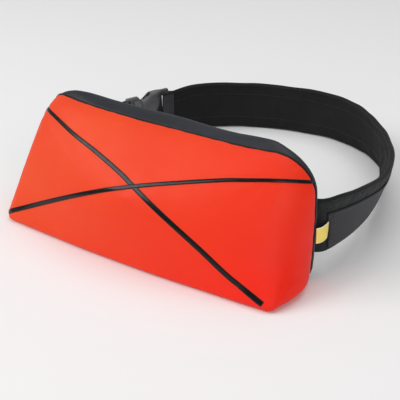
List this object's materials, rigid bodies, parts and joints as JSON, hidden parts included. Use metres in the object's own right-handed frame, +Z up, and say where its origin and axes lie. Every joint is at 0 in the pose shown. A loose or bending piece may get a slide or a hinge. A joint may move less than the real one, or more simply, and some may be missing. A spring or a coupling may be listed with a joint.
{
  "type": "belt pack",
  "caption": "Wedge-shaped zipped pouch of coated cloth on a padded waist belt that closes in a loop with a side-release buckle.",
  "frame": {"origin": "middle of the footprint, on the surface the pack stands on", "axes": "+X along the pouch to its right as seen from the front, front of the pouch faces -Y, +Z up"},
  "size_m": [0.3614, 0.3902, 0.122],
  "materials": {
    "front_cover": "coated, smooth, slight sheen",
    "back_shell": "coated, smooth",
    "seam_piping": "satin",
    "cross_tape": "glossy film",
    "belt_pad": "mesh over foam",
    "belt_webbing": "smooth woven",
    "left_strap": "woven webbing",
    "pull_tab": "woven webbing",
    "buckle_socket": "satin",
    "buckle_plug": "satin"
  },
  "bodies": {
    "root": {"front_cover": "front_cover", "back_shell": "back_shell", "seam_piping": "seam_piping", "cross_tape": "cross_tape", "belt_pad": "belt_pad", "belt_webbing": "belt_webbing", "left_strap": "left_strap", "pull_tab": "pull_tab", "buckle_socket": "buckle_socket", "buckle_plug": "buckle_plug"}
  },
  "joints": []
}
